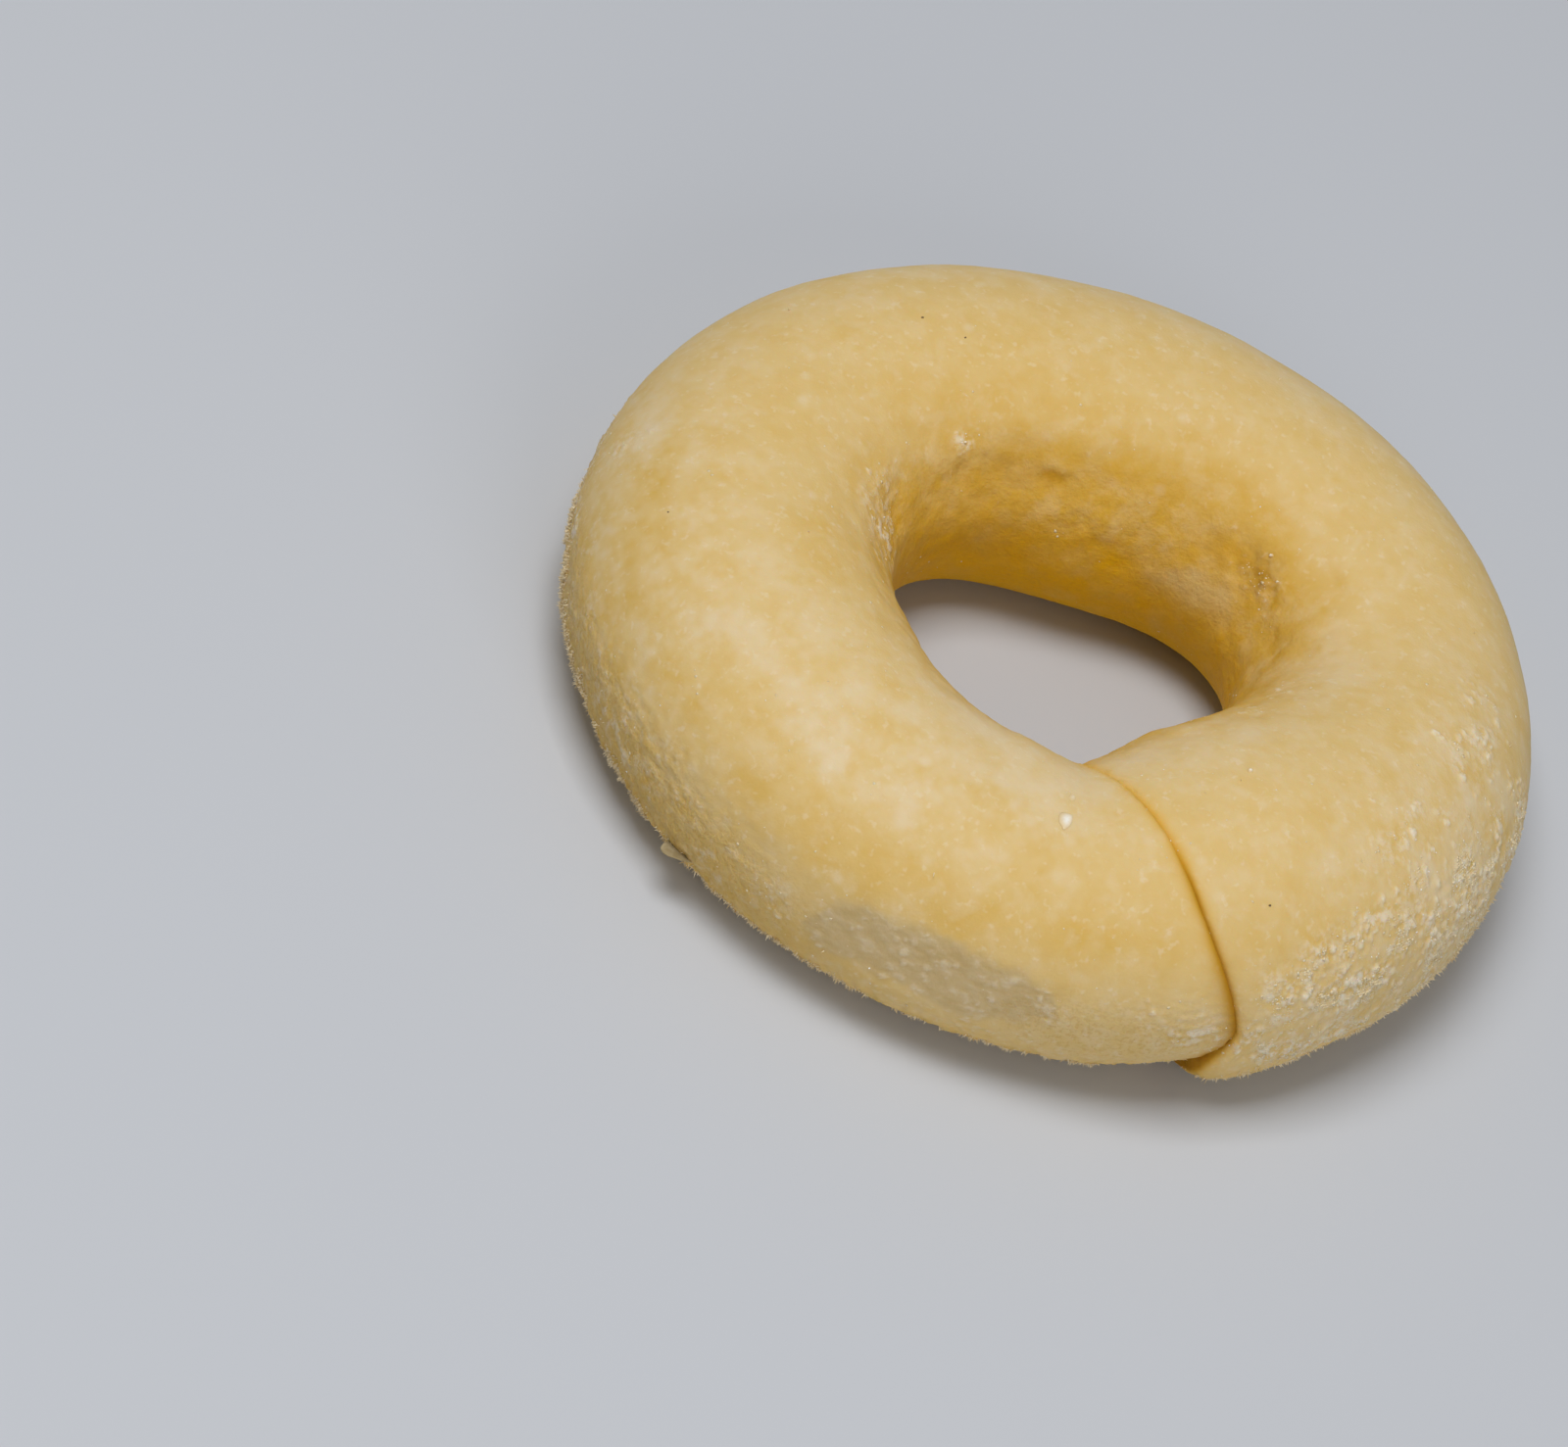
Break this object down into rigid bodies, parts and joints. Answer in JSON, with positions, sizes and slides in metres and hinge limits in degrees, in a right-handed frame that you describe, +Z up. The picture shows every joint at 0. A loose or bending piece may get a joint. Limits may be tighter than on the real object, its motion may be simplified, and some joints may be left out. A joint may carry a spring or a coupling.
{
  "type": "raw dough ring",
  "caption": "Thick ring of raw, frozen yeast dough: a rope bent round with its ends lapped, dusted with frost, ready to bake.",
  "frame": {"origin": "on the table, below the middle of the ring's bounding box", "axes": "+Z up through the hole, +X along the ring's longer width, the lap of the rope's ends towards -Y"},
  "size_m": [0.1052, 0.1002, 0.0291],
  "materials": {
    "raw_dough": "raw dough, dull and slightly rough, with patches of white frost"
  },
  "bodies": {
    "root": {"dough_ring": "raw_dough"}
  },
  "joints": []
}
